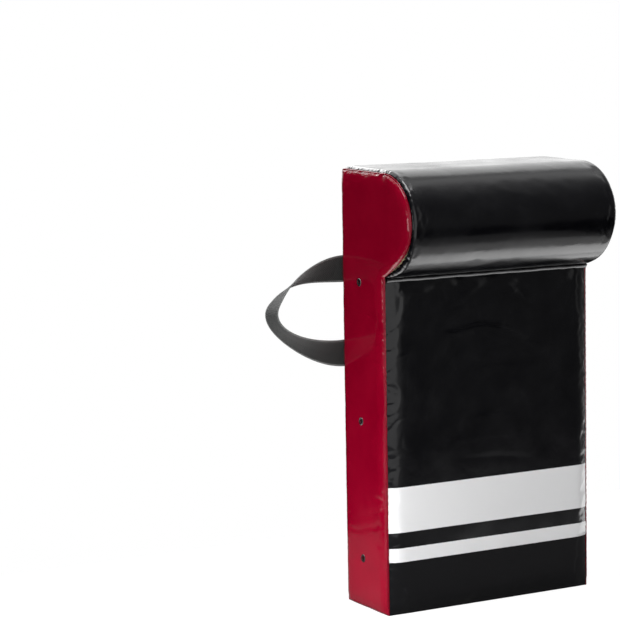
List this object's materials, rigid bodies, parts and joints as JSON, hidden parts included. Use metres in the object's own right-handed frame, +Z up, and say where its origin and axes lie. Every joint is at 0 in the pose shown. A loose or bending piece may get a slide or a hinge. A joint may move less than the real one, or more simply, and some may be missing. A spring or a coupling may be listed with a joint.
{
  "type": "tackle wedge",
  "caption": "Padded standing wedge with an overhanging roll along its top front, a webbing grab handle at one side and a zipped back, for practising tackles",
  "frame": {"origin": "centre of the base panel's underside, on the floor plane", "axes": "+Z up, the padded front and its roll face -Y, the handle reaches out to -X"},
  "size_m": [0.6017, 0.2805, 0.8203],
  "materials": {
    "red_sheet": "glossy coated sheet",
    "black_sheet": "glossy coated sheet",
    "foam": "open-cell foam",
    "eyelet_metal": "dark plated",
    "webbing": "herringbone webbing",
    "zip_stringer": "woven tape with moulded teeth",
    "zip_metal": "dark plated"
  },
  "bodies": {
    "cover": {"foam_core_slab": "foam", "foam_head_roll": "foam", "left_side_panel": "red_sheet", "right_side_panel": "red_sheet", "front_panel": "black_sheet", "head_wrap_panel": "black_sheet", "back_panel": "black_sheet", "base_panel": "black_sheet", "left_eyelet_1": "eyelet_metal", "left_eyelet_2": "eyelet_metal", "left_eyelet_3": "eyelet_metal", "left_eyelet_washer_1": "eyelet_metal", "left_eyelet_washer_2": "eyelet_metal", "left_eyelet_washer_3": "eyelet_metal", "right_eyelet_1": "eyelet_metal", "right_eyelet_2": "eyelet_metal", "right_eyelet_3": "eyelet_metal", "right_eyelet_washer_1": "eyelet_metal", "right_eyelet_washer_2": "eyelet_metal", "right_eyelet_washer_3": "eyelet_metal", "zip_stringer_left": "zip_stringer", "zip_stringer_right": "zip_stringer", "zip_top_stop_left": "zip_metal", "zip_top_stop_right": "zip_metal", "zip_bottom_stop": "zip_metal", "handle_sewn_end_top": "webbing", "handle_sewn_end_low": "webbing"},
    "slider": {"zip_slider": "zip_metal"},
    "pull_tab": {"zip_pull_tab": "zip_metal"},
    "handle": {"handle_webbing": "webbing"}
  },
  "joints": [
    {"name": "handle_swing", "type": "hinge", "parent": "cover", "child": "handle", "pos_m": [-0.223, 0.0766, 0.549], "axis": [0, 0, 1], "range_deg": [-115, 50]},
    {"name": "zip_slide", "type": "slide", "parent": "cover", "child": "slider", "axis": [0, 0, -1], "range_m": [0, 0.563], "deforming": ["zip_stringer_left", "zip_stringer_right"]},
    {"name": "pull_tab_swing", "type": "hinge", "parent": "slider", "child": "pull_tab", "pos_m": [0, 0.0815, 0.6788], "axis": [1, 0, 0], "range_deg": [0, 170]}
  ]
}
